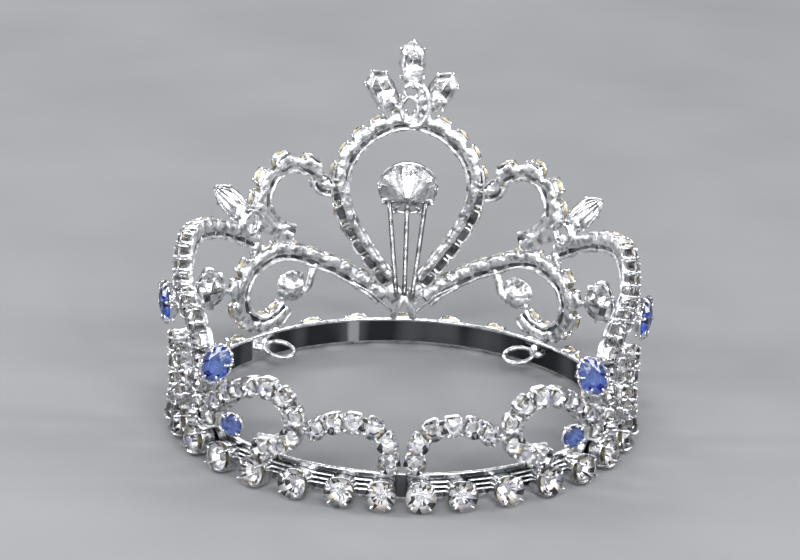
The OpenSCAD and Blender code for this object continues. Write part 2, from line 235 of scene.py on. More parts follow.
def cornered(corners):
    """Outline through the corners of a polygon round the origin, listed from +X to -X over +Y."""
    ring = corners + [(x, -y) for x, y in corners[-2:0:-1]] if corners[-1][1] == 0 else corners

    def outline(t):
        d = Vector((math.cos(t), math.sin(t)))
        for i, p in enumerate(ring):
            p, q = Vector(p), Vector(ring[(i + 1) % len(ring)])
            edge = q - p
            den = d.x * edge.y - d.y * edge.x
            if abs(den) < 1e-9:
                continue
            far = (p.x * edge.y - p.y * edge.x) / den
            share = (p.x * d.y - p.y * d.x) / den
            if far > 0 and -1e-6 <= share <= 1 + 1e-6:
                return d.x * far, d.y * far
        return 0.0, 0.0
    return outline


def gem(outline, depth, crown, girdle=0.12, table=0.52, backs=8):
    """Brilliant cut with its widest line at z = 0: glass crown, foil under it, lacquer on the
    foil's back. backs is the number of foiled facets round the point, 8 or 16."""
    def at(rho, step, z):
        x, y = outline(TAU * step / 16)
        return rho * x, rho * y, z

    cos_half = math.cos(TAU / 16)
    star = table + 0.55 * (1 - table)
    star_z = girdle + crown * (1 - star * cos_half) / (1 - table)
    belly, deep = 0.64, 0.32
    wide = 16 // backs
    points = [at(table, 2 * k, girdle + crown) for k in range(8)]
    points += [at(star, 2 * k + 1, star_z) for k in range(8)]
    points += [at(1, k, girdle) for k in range(16)]
    points += [at(1, k, 0) for k in range(16)]
    points += [at(belly, wide * (k + 0.5), -1.1 * depth * (1 - belly)) for k in range(backs)]
    points += [at(deep, wide * k, -1.06 * depth * (1 - deep)) for k in range(backs)]
    points.append((0, 0, -depth))
    top, mid, up, down, low = 0, 8, 16, 32, 48
    last = low + backs
    culet = last + backs
    faces, mats = [tuple(range(8))], [GLASS]
    for k in range(8):
        n, p, g = (k + 1) % 8, (k - 1) % 8, 2 * k
        g1, g2 = (g + 1) % 16, (g + 2) % 16
        front = [(top + k, mid + k, top + n), (top + k, mid + p, up + g, mid + k),
                 (mid + k, up + g, up + g1), (mid + k, up + g1, up + g2),
                 (up + g, down + g, down + g1, up + g1), (up + g1, down + g1, down + g2, up + g2)]
        faces += front
        mats += [GLASS] * len(front)
    for k in range(backs):
        n = (k + 1) % backs
        back = [(down + wide * k + i, low + k, down + (wide * k + i + 1) % 16) for i in range(wide)]
        back += [(down + wide * (k + 1) % 16, low + k, low + n), (low + k, last + k, last + n),
                 (low + k, last + n, low + n), (culet, last + n, last + k)]
        faces += back
        mats += [FOIL] * len(back)
    shell = [at(0.97, k, -0.09 * depth) for k in range(16)] + [(0, 0, -1.05 * depth)]
    sides = [(k, (k + 1) % 16, 16) for k in range(16)]
    return joined(Shape(points, faces, mats, smooth=False),
                  Shape(shell, sides, [LACQUER] * 16, smooth=False))


def sparkled(shape, rng, shares):
    """Gives each foiled facet one of the foils, in the shares named: painted glints and painted shade,
    facet by facet.
    """
    picks = rng.choices(range(1, len(shares) + 1), shares, k=len(shape.faces))
    mats = [pick if m == FOIL else m for m, pick in zip(shape.mats, picks)]
    return Shape(shape.points, shape.faces, mats, shape.smooth)


def ring_at(outline, scale, z, dip=0.0, lobe=0.0, lobes=8, n=32):
    """One ring of a cup. dip lowers it between four corners, lobe swells it between creases."""
    ring = []
    for k in range(n):
        t = TAU * k / n
        x, y = outline(t)
        s = scale * (1 + lobe * (abs(math.sin(lobes * t / 2)) - 0.64))
        ring.append((s * x, s * y, z - dip * 0.5 * (1 - math.cos(4 * (t - TAU / 8)))))
    return np.array(ring)


def cup(outline, profile, lobes=8, n=32):
    """Cup over rings given as (scale, z, dip, lobe)."""
    return loft([ring_at(outline, s, z, dip, lobe, lobes, n) for s, z, dip, lobe in profile])


def claw(outline, t, low, high, reach, r=0.26, spread=1.0, sides=8):
    """Prong from the side of a cup at height low, up and over the stone's edge."""
    x, y = outline(t)
    steps = [(spread, low), (spread, low + 0.62 * (high - low)), (0.97 * spread, low + 0.82 * (high - low)),
             (0.5 * (spread + reach), high - 0.04), (reach, high)]
    return tube([(s * x, s * y, z) for s, z in steps], [r, r, 0.96 * r, 0.86 * r, 0.66 * r], sides)


def evenly(count, first=0.5):
    return [TAU * (k + first) / count for k in range(count)]


# Places on the wall
def on_wall(angle, z, r):
    a = math.radians(angle)
    return Vector((r * math.sin(a), -r * math.cos(a), z))


def place(at, r, lean=0.0, tip=0.0, turn=0.0):
    """Puts a shape on the wall with its +Z out of the crown, as the CAD part does."""
    return (Matrix.Translation(on_wall(at[0], at[1], r))
            @ Matrix.Rotation(math.radians(at[0] + turn), 4, "Z")
            @ Matrix.Rotation(math.radians(90 - tip), 4, "X")
            @ Matrix.Rotation(math.radians(lean), 4, "Z"))


def shift(x, y, z=0.0):
    return Matrix.Translation((x, y, z))


class Path:
    """Smooth route on the wall, read by the distance along it."""

    def __init__(self, route, both_sides=False, fine=20):
        pts = [np.array(p, float) for p in route]
        if both_sides:
            pts += [np.array([-p[0], p[1]]) for p in route[-2::-1]]
        q = [2 * pts[0] - pts[1]] + pts + [2 * pts[-1] - pts[-2]]
        fine_line = []
        for i in range(len(pts) - 1):
            a, b, c, d = q[i:i + 4]
            for s in range(fine):
                t = s / fine
                fine_line.append(0.5 * (2 * b + (c - a) * t + (2 * a - 5 * b + 4 * c - d) * t * t
                                        + (3 * b - a - 3 * c + d) * t ** 3))
        fine_line.append(pts[-1])
        self.line = np.array(fine_line)
        self.xyz = np.array([on_wall(p[0], p[1], ROUTE_R) for p in fine_line])
        self.dist = np.concatenate([[0], np.cumsum(np.linalg.norm(np.diff(self.xyz, axis=0), axis=1))])
        self.length = self.dist[-1]

    def at(self, s):
        return np.interp(s, self.dist, self.line[:, 0]), np.interp(s, self.dist, self.line[:, 1])

    def nearest(self, at):
        """Distance along the route of the point nearest a place on the wall."""
        return self.dist[np.argmin(np.linalg.norm(self.xyz - np.array(on_wall(*at, ROUTE_R)), axis=1))]

    def frame(self, s, r=BACK_R):
        """Matrix with X across the route, Y along it and Z out of the crown."""
        angle, z = self.at(s)
        a0, z0 = self.at(max(s - 0.6, 0))
        a1, z1 = self.at(min(s + 0.6, self.length))
        out = Vector((math.sin(math.radians(angle)), -math.cos(math.radians(angle)), 0))
        along = on_wall(a1, z1, r) - on_wall(a0, z0, r)
        along = (along - out * along.dot(out)).normalized()
        m = Matrix((along.cross(out), along, out)).transposed().to_4x4()
        m.translation = on_wall(angle, z, r)
        return m


def web(places, thick=0.5, seed=0.0, r=BACK_R, dome=0.2):
    """Sheet of solder that fills the polygon between places on the wall, domed on the inner side."""
    corners = [Vector((a, z)) for a, z in places]
    edge = []
    for i, p in enumerate(corners):
        q = corners[(i + 1) % len(corners)]
        edge += [p.lerp(q, k / 4) for k in range(4)]
    middle = sum(edge, Vector((0, 0))) / len(edge)
    rows = [(1.0, thick), (1.03, thick * 0.5), (1.0, 0.12), (0.86, -0.02), (0.6, -0.6 * dome),
            (0.3, -dome)]
    rings = []
    for share, out in rows:
        ring = []
        for p in edge:
            at = middle + (p - middle) * share
            ring.append(on_wall(at.x, at.y, r + out + 0.25 * uneven((at.x * 0.6, at.y, seed), 0.8)))
        rings.append(np.array(ring))
    return soldered(loft(rings))


# Cup chain
CUP_HALF = 1.43
CUP_STEPS = 32
CORNER_HALF = 1.62
STONE_HALF = 1.68
CUP_OUTLINE = superellipse(CUP_HALF, CUP_HALF, 5)
CUP_CORNER = superellipse(CORNER_HALF, CORNER_HALF)
CHAIN_STONE = gem(superellipse(STONE_HALF, STONE_HALF), 1.35, 0.55, 0.1)
STONE_SEAT = shift(0, 0, 2.0)
# How often each foil of CLEAR and BLUE is picked, in the order in which they are listed there; these shares
# set how many facets carry painted glints and painted shade
CLEAR_SHARES = (50, 18, 22, 5, 5)
BLUE_SHARES = (30, 30, 24, 16)


def chain_cup(tall=1.42):
    """Square cup with four claws and a back in the darkened silver, painted shade; tall is the height of
    its walls.
    """
    body = cup(CUP_OUTLINE, [(0.8, 0.02, 0, 0), (0.92, 0.06, 0, 0), (0.96, 0.25, 0, 0),
                             (1.0, tall, 0.24, 0), (0.97, tall + 0.07, 0.24, 0),
                             (0.9, tall + 0.05, 0.2, 0), (0.84, 1.3, 0, 0)], n=CUP_STEPS)
    back = len(body.mats) - 2
    # The back faces get the darkened silver: painted shade and dark reflection behind the strip.
    body.mats = [PAINTED_SHADE if i < CUP_STEPS or i == back else PLATE for i in range(len(body.mats))]
    prongs = [claw(CUP_CORNER, t, 1.1, 2.72, 0.7, 0.23) for t in evenly(4)]
    return joined(body, *prongs)


CHAIN_CUP = chain_cup()
TALL_CUP = chain_cup(1.86)


def cup_edge(m, inner):
    """Thin bright edge round the outer half of a cup's back."""
    pts = [(-0.4, 1.32), (-0.8, 1.36), (-1.25, 1.28), (-1.46, 0.9), (-1.5, 0), (-1.46, -0.9),
           (-1.25, -1.28), (-0.8, -1.36), (-0.4, -1.32)]
    return soldered(moved(tube([(inner * u, v, 0.0) for u, v in pts], 0.19, 6), m))


TOOTHED = (0.8, -0.22, 0.6)
PLAIN_BEAD = (0.8, 0.0, 0.0)


def strip(path, inner, spots, start, end, r, seed, shape, feet):
    """Domed strip of solder over the cups' backs. shape is half its width, its usual place across the
    chain and how far it spreads behind each cup. Over the length feet at both ends it runs nearer
    the inner side and leaves the cups' edges bare."""
    half, usual, wide = shape
    steps = max(int((end - start) / 0.3), 6)
    rings = []
    for i in range(steps + 1):
        s = start + (end - start) * i / steps
        m = path.frame(s, r)
        fade = 0.7 + 0.3 * min(i, steps - i, 3) / 3
        near = min(1, max([0.0] + [3.6 - 2.2 * abs(s - c) for c in spots]))
        bare = min(max((feet - min(s - start, end - s)) / 6 + 0.5, 0), 1) if feet else 0
        middle = usual + (0.62 - usual) * bare
        tooth = wide * (1 - bare)
        low = middle - (half + tooth * near + 0.16 * uneven((s, seed, 0), 0.7)) * fade
        high = middle + (half - 0.12 + 0.12 * uneven((s, seed, 5), 0.9)) * fade
        section = []
        for f in (0, 0.08, 0.25, 0.5, 0.75, 0.92, 1):
            z = 0.15 - 0.4 * math.sin(math.pi * f) ** 0.6 + 0.16 * uneven((s, 3 * f, seed), 0.9)
            section.append((low + (high - low) * f, z))
        section += [(high, 0.5), (low, 0.5)]
        rings.append(np.array([m @ Vector((inner * u, 0, z)) for u, z in section]))
    return soldered(loft(rings))


def edge_wire(path, inner, start, end, r, seed):
    """Thin bright line of solder along the inner side of the chain."""
    steps = max(int((end - start) / 0.5), 4)
    pts, radii = [], []
    for i in range(steps + 1):
        s = start + (end - start) * i / steps
        sway = uneven((s, seed, 9), 0.6)
        pts.append(path.frame(s, r) @ Vector((inner * (1.24 + 0.16 * sway), 0, 0.15 * sway)))
        radii.append(0.31 * (1 + 0.6 * uneven((s, seed, 2), 1.1)))
    return soldered(tube(pts, radii))


def seated(frames, seed, rng, walls, cup_shape):
    """Cups and stones of a chain on the frames given, none of them quite straight."""
    cups, stones = [], []
    for i, m in enumerate(frames):
        m = (m @ Matrix.Rotation(0.05 * math.sin(7.3 * i + seed), 4, "Z")
             @ Matrix.Rotation(0.05 * math.sin(4.1 * i + seed), 4, "X")
             @ Matrix.Rotation(0.05 * math.cos(5.7 * i + seed), 4, "Y"))
        cups.append(made_of(moved(cup_shape, m), walls) if walls else moved(cup_shape, m))
        spin = Matrix.Rotation(0.9 * i + seed, 4, "Z")
        stones.append(sparkled(moved(CHAIN_STONE, m @ STONE_SEAT @ spin), rng, CLEAR_SHARES))
    return cups, stones


def chain(route, inner, pitch=3.35, both_sides=False, ends=(1.55, 1.55), r=BACK_R, seed=0.0,
          trim=(0.0, 0.0), cups_at=None, shape=TOOTHED, feet=0.0, walls=None, cup_shape=CHAIN_CUP):
    """Metal and stones of a chain. inner is 1 or -1, the side of its inner edge. ends are the
    distances of the first and last cup from the route's ends, trim those of the strip. cups_at
    names the places of cups that aren't evenly spaced, walls a material for whole cups."""
    path = Path(route, both_sides)
    rng = random.Random(seed)
    if cups_at is None:
        span = path.length - ends[0] - ends[1]
        n = max(round(span / pitch) + 1, 2)
        spots = [ends[0] + span * i / (n - 1) for i in range(n)]
        frames = [path.frame(s, r) @ shift(-0.1 * inner, 0) for s in spots]
    else:
        spots = [path.nearest(at) for at in cups_at]
        frames = [path.frame(s, r) @ shift(-0.35 * inner, 0) for s in spots]
    cups, stones = seated(frames, seed, rng, walls, cup_shape)
    start, end = trim[0], path.length - trim[1]
    backs = [strip(path, inner, spots, start, end, r, seed, shape, feet),
             edge_wire(path, inner, start, end, r, seed)]
    if walls is None:
        backs += [cup_edge(m, inner) for m in frames]
    return joined(*backs, *cups), joined(*stones)


# Single settings
def collar(width, length, wire, z, waves=0, swell=0.0, steps=72):
    """Wire round the mouth of a setting, scalloped if it has waves."""
    pts = []
    for i in range(steps):
        t = TAU * i / steps
        wave = abs(math.sin(waves * t / 2))
        s = 1 + swell * (wave - 0.5)
        pts.append(Vector((math.cos(t) * width / 2 * s, math.sin(t) * length / 2 * s,
                           z + 0.9 * swell * wave)))
    rings = []
    for i, p in enumerate(pts):
        along = (pts[(i + 1) % steps] - pts[i - 1]).normalized()
        out = along.cross(Vector((0, 0, 1))).normalized()
        up = out.cross(along)
        rings.append(np.array([p + (out * math.cos(TAU * k / 8) + up * math.sin(TAU * k / 8)) * wire / 2
                               for k in range(8)]))
    return drawn(loft(rings, closed=True))


def dome_setting(d, rows, lobes, lobe, claws, tall=0.5, r=0.27, rim=1.04, lip=0.36):
    """Closed back of a round setting with lobes from its rim to its point. rows are
    (scale, share of depth)."""
    outline = superellipse(d / 2, d / 2)
    depth = PAVILION * d + WALL
    profile = [(s, -share * depth, 0, lobe * min(1, 4 * (1 - share) + 0.25)) for s, share in rows]
    profile += [(rim, 0.0, 0, 0.3 * lobe), (rim, 0.1, 0, 0), (0.99, 0.14, 0, 0), (0.95, -0.1, 0, 0)]
    body = cup(outline, profile, lobes, 8 * lobes)
    prongs = [claw(outline, t, -0.25 * depth, tall, 0.8, r, rim) for t in claws]
    return joined(body, collar(d * rim, d * rim, lip, -0.05), *prongs)


CONE = [(0.05, 1.0), (0.12, 0.975), (0.34, 0.8), (0.6, 0.55), (0.84, 0.28), (1.0, 0.08)]
BOWL = [(0.12, 1.0), (0.32, 0.97), (0.56, 0.86), (0.78, 0.64), (0.93, 0.37), (1.02, 0.1)]


def bulb_setting(d, claws):
    """Round back of flat facets with square prongs; the facets get four silvers, lighter and darker, at
    random as painted reflections.
    """
    outline = superellipse(d / 2, d / 2)
    depth = PAVILION * d + WALL
    rows = [(0.16, -depth), (0.45, -0.93 * depth), (0.76, -0.7 * depth), (0.97, -0.38 * depth),
            (1.04, -0.06 * depth), (1.0, 0.12), (0.95, -0.1)]
    facets = loft([ring_at(outline, s, z, n=12) for s, z in rows])
    facets.smooth = [False] * len(facets.faces)
    # Painted reflections: each facet is given a lighter or darker silver, so the bulb shows bright and dark
    # facets.
    facets.mats = random.Random(d).choices((PLATE, POLISHED, SOLDERED, PAINTED_SHADE), (3, 3, 3, 2),
                                           k=len(facets.faces))
    prongs = [claw(outline, t, -0.34 * depth, 0.9, 0.8, 0.42, 1.05, sides=4) for t in evenly(claws)]
    return joined(facets, collar(1.08 * d, 1.08 * d, 0.34, -0.05), *prongs)


def ribbed_setting(width, length, depth, ribs, swell, claws):
    """Oval back with ribs that run along it."""
    rings = []
    for i in range(1, 24):
        v = -math.cos(math.pi * i / 24)
        size = math.sqrt(1 - v * v)
        ring = []
        for k in range(8 * ribs + 1):
            t = math.pi * k / (8 * ribs)
            s = 1 + swell * (abs(math.sin(ribs * t)) - 0.5)
            ring.append((0.52 * width * size * s * math.cos(t), 0.52 * length * v,
                         -depth * size * s * math.sin(t)))
        ring += [(x * 0.45 * width * size, 0.52 * length * v, 0.12) for x in (-1, 1)]
        rings.append(np.array(ring))
    outline = superellipse(width / 2, length / 2)
    prongs = [claw(outline, t, -0.4 * depth, 0.66, 0.78, 0.28, 1.08) for t in claws]
    return joined(loft(rings), collar(1.06 * width, 1.05 * length, 0.4, 0.0), *prongs)


def oval_setting(width, length, depth, claws, waves=12, swell=0.05, tall=0.62, r=0.25):
    """Open-backed oval cup with a scalloped wire round its mouth."""
    outline = superellipse(width / 2, length / 2)
    profile = [(0.42, -depth, 0, 0), (0.55, -depth, 0, 0), (0.62, -0.93 * depth, 0, 0.6 * swell),
               (0.86, -0.5 * depth, 0, swell), (1.02, -0.12 * depth, 0, swell), (1.05, 0.0, 0, swell),
               (1.0, 0.1, 0, 0), (0.96, -0.1, 0, 0), (0.9, -0.5, 0, 0)]
    body = cup(outline, profile, waves, 8 * waves)
    prongs = [claw(outline, t, -0.5, tall, 0.76, r, 1.06) for t in claws]
    return joined(body, collar(1.1 * width, 1.1 * length, 0.3, 0.1, waves, 1.4 * swell), *prongs)


LEAF_OUTLINE = cornered([(2.25, 0), (2.0, 2.45), (0, 4.05), (-2.0, 2.45), (-2.25, 0), (-2.0, -2),
                         (-1.3, -3.5), (0, -4.05), (1.3, -3.5), (2.0, -2)])
LEAF_STEPS = 60


def leaf_setting():
    """Boat-shaped cup: a bright frame round a panel darkened as painted shade, with a low keel."""
    depth = 0.4 * LEAF_W + WALL
    rows = [(0.03, 0.4, -0.72 * depth), (0.6, 0.66, -0.6 * depth), (0.64, 0.7, -0.75 * depth),
            (0.76, 0.79, -0.7 * depth), (0.95, 0.96, -0.3 * depth), (1.0, 1.0, 0), (0.97, 0.97, 0.1),
            (0.9, 0.9, 0.1), (0.86, 0.86, -0.1)]
    edge = [LEAF_OUTLINE(TAU * k / LEAF_STEPS) for k in range(LEAF_STEPS)]
    rings = [np.array([(sx * x, sy * y, z) for x, y in edge]) for sx, sy, z in rows]
    shoulders = [tube([(x * 1.95, y * 2.3, -0.7), (x * 1.98, y * 2.35, 0.1), (x * 1.7, y * 2.3, 0.6),
                       (x * 1.35, y * 2.2, 0.78)], [0.27, 0.26, 0.23, 0.18])
                 for x in (-1, 1) for y in (-1, 1)]
    tip = tube([(0, 3.3, -0.6), (0, 3.8, -0.1), (0, 3.7, 0.35), (0, 3.2, 0.7)], [0.32, 0.3, 0.26, 0.2])
    hull = loft(rings)
    # The panel gets the darkened silver: painted shade and dark reflection.
    hull.mats = [PAINTED_SHADE] * LEAF_STEPS + [SOLDERED] * (len(hull.mats) - LEAF_STEPS)
    foot = soldered(blob((0, -1.7, -0.62 * depth), (1.75, 2.1, 0.42 * depth), 4))
    return joined(hull, foot, *shoulders, tip)


def oval_gem(width, length):
    return gem(superellipse(width / 2, length / 2), PAVILION * width, 0.17 * width, 0.22)


def round_gem(d, backs=8):
    return gem(superellipse(d / 2, d / 2), PAVILION * d, 0.17 * d, 0.06 * d, backs=backs)


# Materials
def emptied(owner):
    """A new material or world, its node tree empty."""
    owner.use_nodes = True
    owner.node_tree.nodes.clear()
    return owner


def node(tree, kind, **inputs):
    """New node. Each input is a value or another node's output; _ stands for a space in its name."""
    made = tree.nodes.new(kind)
    for name, value in inputs.items():
        socket = made.inputs[name.replace("_", " ")]
        if isinstance(value, bpy.types.NodeSocket):
            tree.links.new(value, socket)
        else:
            socket.default_value = value
    return made


def surfaced(mat, **inputs):
    """Gives a material the Principled shader with these inputs."""
    shader = node(mat.node_tree, "ShaderNodeBsdfPrincipled", **inputs)
    node(mat.node_tree, "ShaderNodeOutputMaterial", Surface=shader.outputs["BSDF"])
    return mat


def scaled(vector, *scale):
    return node(vector.id_data, "ShaderNodeMapping", Vector=vector, Scale=scale).outputs["Vector"]


def millimetres(mat):
    """Object coordinates in millimetres."""
    return scaled(node(mat.node_tree, "ShaderNodeTexCoord").outputs["Object"], 1000, 1000, 1000)


def noise_node(vector, scale, detail=3.0, rough=0.5):
    return node(vector.id_data, "ShaderNodeTexNoise", Vector=vector, Scale=scale, Detail=detail,
                Roughness=rough).outputs["Fac"]


def ramp(value, stops):
    made = node(value.id_data, "ShaderNodeValToRGB", Fac=value)
    for element, (pos, col) in zip(made.color_ramp.elements, (stops[0], stops[-1])):
        element.position, element.color = pos, (*col, 1)
    for pos, col in stops[1:-1]:
        made.color_ramp.elements.new(pos).color = (*col, 1)
    return made.outputs["Color"]


def to_range(value, low, high):
    return node(value.id_data, "ShaderNodeMapRange", Value=value, To_Min=low, To_Max=high).outputs["Result"]


def bump(height, strength, distance):
    return node(height.id_data, "ShaderNodeBump", Height=height, Strength=strength,
                Distance=distance * MM).outputs["Normal"]


def metal(name, tint, rough, lump_scale, lump, tarnish, patch=0.9):
    """Silver with small dents, uneven gloss and patches that are darker by the factor tarnish."""
    mat = emptied(bpy.data.materials.new(name))
    vec = millimetres(mat)
    dull = tuple(c * tarnish for c in tint)
    return surfaced(mat, Metallic=1.0,
                    Base_Color=ramp(noise_node(vec, patch, 4.0, 0.6), [(0.36, dull), (0.56, tint)]),
                    Roughness=to_range(noise_node(vec, 2.2, 5.0, 0.65), *rough),
                    Normal=bump(noise_node(vec, lump_scale, 3.0, 0.55), 1.0, lump))


def polished_band():
    """Rolled strip: dark and bright stretches along it, painted reflections, and fine lines along its
    length.
    """
    mat = emptied(bpy.data.materials.new("band_silver"))
    vec = millimetres(mat)
    lines = noise_node(scaled(vec, 0.12, 0.12, 9.0), 1.0, 4.0, 0.6)
    # Painted reflection: the plate colour runs from near black to bright in tall stretches, standing in for
    # the dark and bright surroundings mirrored in the band.
    plate = ramp(noise_node(scaled(vec, 0.16, 0.16, 0.03), 1.0, 1.0, 0.4),
                 [(0.38, (0.06, 0.062, 0.068)), (0.5, (0.16, 0.165, 0.175)), (0.58, (0.2, 0.205, 0.22)),
                  (0.62, (0.8, 0.81, 0.83))])
    return surfaced(mat, Metallic=1.0, Base_Color=plate, Roughness=to_range(lines, 0.05, 0.16),
                    Normal=bump(lines, 0.35, 0.02))


def glass(name, tint, ior):
    """Front of a cut stone: clear, with gloss on its facets."""
    mat = emptied(bpy.data.materials.new(name))
    tree = mat.node_tree
    clear = node(tree, "ShaderNodeBsdfTransparent", Color=(*tint, 1))
    gloss = to_range(noise_node(millimetres(mat), 1.5), 0.02, 0.06)
    shine = node(tree, "ShaderNodeBsdfGlossy", Roughness=gloss)
    edge = node(tree, "ShaderNodeFresnel", IOR=ior)
    mix = node(tree, "ShaderNodeMixShader", Fac=edge.outputs["Fac"])
    tree.links.new(clear.outputs["BSDF"], mix.inputs[1])
    tree.links.new(shine.outputs["BSDF"], mix.inputs[2])
    node(tree, "ShaderNodeOutputMaterial", Surface=mix.outputs["Shader"])
    return mat


FOIL_METALLIC = 0.55


def foil(name, tint, rough, spread=0.12):
    """Mirror behind a stone; each stone's tint differs a little."""
    mat = emptied(bpy.data.materials.new(name))
    pick = node(mat.node_tree, "ShaderNodeNewGeometry").outputs["Random Per Island"]
    darker = tuple(c * (1 - spread) for c in tint)
    return surfaced(mat, Metallic=FOIL_METALLIC, Roughness=rough,
                    Base_Color=ramp(pick, [(0.0, darker), (1.0, tint)]))


def lacquer():
    """Gold-grey paint on the back of the foil."""
    mat = emptied(bpy.data.materials.new("foil_lacquer"))
    paint = ramp(noise_node(millimetres(mat), 1.2, 3.0, 0.6), [(0.3, (0.30, 0.27, 0.16)),
                                                              (0.7, (0.52, 0.48, 0.33))])
    return surfaced(mat, Metallic=FOIL_METALLIC, Roughness=0.42, Base_Color=paint)


# The fourth and fifth silvers are darkened copies, tint 0.3 and 0.6: painted shade and painted dark
# reflections on cup backs, leaf panels, posts and bulb facets.
METALS = [metal("plate_silver", (0.85, 0.86, 0.88), (0.12, 0.3), 1.5, 0.07, 0.5),
          metal("solder_silver", (0.92, 0.93, 0.95), (0.2, 0.4), 1.3, 0.2, 0.32, 0.8),
          metal("wire_silver", (0.8, 0.81, 0.83), (0.05, 0.14), 0.9, 0.06, 0.65),
          metal("painted_shade_silver", (0.3, 0.3, 0.31), (0.12, 0.3), 1.6, 0.1, 0.25, 0.7),
          metal("polished_silver", (0.6, 0.61, 0.63), (0.08, 0.18), 0.7, 0.02, 0.7)]
BAND = polished_band()
PAINT = lacquer()
# Foils given facet by facet: the white, warm, violet, pale blue and bright blue foils are painted glints,
# and the grey, dark and deep blue foils are painted shade.
CLEAR = [glass("stone_clear", (1.0, 1.0, 1.0), 1.6), foil("foil_glint_white", (0.97, 0.97, 0.98), 0.26),
         foil("foil_shade_grey", (0.45, 0.46, 0.49), 0.15), foil("foil_shade_dark", (0.05, 0.05, 0.06), 0.1),
         foil("foil_glint_warm", (0.98, 0.86, 0.62), 0.3), foil("foil_glint_violet", (0.74, 0.72, 1.0), 0.25), PAINT]
BLUE = [glass("stone_blue", (0.52, 0.64, 1.0), 1.6), foil("foil_blue", (0.14, 0.26, 0.9), 0.3),
        foil("foil_shade_deep_blue", (0.02, 0.03, 0.26), 0.15), foil("foil_glint_pale_blue", (0.7, 0.82, 1.0), 0.3),
        foil("foil_glint_bright_blue", (1.0, 1.0, 1.0), 0.25), PAINT]


def new_object(name, data):
    obj = bpy.data.objects.new(name, data)
    bpy.context.scene.collection.objects.link(obj)
    return obj


def piece(name, shape, mats, nodes, smooth_angle=40):
    """Blender object from a shape in millimetres; it stands for the CAD nodes."""
    mesh = bpy.data.meshes.new(name)
    mesh.from_pydata((shape.points * MM).tolist(), [], shape.faces)
    for m in mats:
        mesh.materials.append(m)
    mesh.polygons.foreach_set("material_index", [m % len(mats) for m in shape.mats])
    mesh.polygons.foreach_set("use_smooth", shape.smooth)
    mesh.update()
    shell = bmesh.new()
    shell.from_mesh(mesh)
    bmesh.ops.recalc_face_normals(shell, faces=shell.faces)
    shell.to_mesh(mesh)
    shell.free()
    if any(shape.smooth):
        mesh.set_sharp_from_angle(angle=math.radians(smooth_angle))
    obj = new_object(name, mesh)
    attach(obj, "root")
    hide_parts(*nodes)
    return obj


def metal_piece(name, shape, nodes):
    return piece(name, shape, METALS, nodes)


def clear_piece(name, shape, nodes):
    return piece(name, shape, CLEAR, nodes)


def blue_piece(name, shape, nodes):
    return piece(name, shape, BLUE, nodes)


def both(make, name, shape, node):
    make(name + "_left", shape, [node + "_left"])
    make(name + "_right", mirrored(shape), [node + "_right"])


# Band and pin loops
def band_shape():
    """Strip with a small bead rolled along each edge."""
    half, thin, bead = BAND_H / 2, 0.42, 0.26
    mid_r = BAND_R - 0.25
    section = []
    for side in (1, -1):
        for k in range(9):
            a = math.pi * k / 8
            section.append((side * bead * math.cos(a), side * (half - bead + bead * math.sin(a))))
        section += [(-side * thin / 2, side * (half - 2 * bead)), (-side * thin / 2, 0)]
    rings = []
    for i in range(240):
        a = TAU * i / 240
        rings.append(np.array([((mid_r + x) * math.sin(a), -(mid_r + x) * math.cos(a), BAND_LIFT + half + z)
                               for x, z in section]))
    strip_skin = loft(rings, closed=True)
    # The faces between the two beads, on each side of the strip
    flat = (9, 10, 20, 21)
    strip_skin.mats = [0 if k % len(section) in flat else 1 for k in range(len(strip_skin.faces))]
    return strip_skin


LOOP_D, LOOP_WIRE, LOOP_Z, LOOP_SLOPE = 5.6, 0.75, 2.9, 14


def pin_loop(angle, lump_side):
    """Small wire loop inside the band, with its ends soldered to it."""
    m = (Matrix.Rotation(math.radians(angle), 4, "Z") @ shift(0, 0.55 + LOOP_D / 2 - BAND_R, LOOP_Z)
         @ Matrix.Rotation(math.radians(-LOOP_SLOPE), 4, "X"))
    loop = moved(soldered(hoop(LOOP_D, LOOP_D, LOOP_WIRE, 0.2)), m)
    lumps = [blob(on_wall(angle + lump_side * 2.2, 3.4, BAND_R - 0.7), (0.7, 0.5, 1.1), angle),
             blob(on_wall(angle + lump_side * 4.2, 3.0, BAND_R - 0.9), (0.9, 0.55, 0.6), angle + 2)]
    return joined(loop, soldered(*lumps))


piece("band_strip", band_shape(), [BAND, METALS[PLATE]], ["band"])
metal_piece("pin_wire_left", pin_loop(43.5, 1), ["pin_loop_left"])
metal_piece("pin_wire_right", pin_loop(-40.5, -1), ["pin_loop_right"])


# Base row
def row_angle(k):
    return math.copysign(ROW_ANGLES[abs(k)], k)


ROW_HALF = 2.16
ROW_CORNER = 2.24
ROW_STONE_HALF = 2.3
ROW_SEAT = 2.88


def row_cup():
    outline = superellipse(ROW_HALF, ROW_HALF, 2.8)
    corner = superellipse(ROW_CORNER, ROW_CORNER)
    body = cup(outline, [(0.8, 0.0, 0, 0), (0.97, 0.1, 0, 0), (0.95, 0.9, 0, 0), (0.95, 1.7, 0.2, 0),
                         (0.98, 2.1, 0.25, 0), (0.96, 2.18, 0.25, 0), (0.88, 2.16, 0.25, 0),
                         (0.84, 1.7, 0, 0)])
    prongs = [claw(corner, t, 1.4, 3.85, 0.72, 0.27, 0.99) for t in evenly(4)]
    return joined(body, *prongs)


ROW_CUP = row_cup()
ROW_STONE = moved(gem(superellipse(ROW_STONE_HALF, ROW_STONE_HALF), 1.75, 0.8, 0.12, backs=16),
                  shift(0, 0, ROW_SEAT))


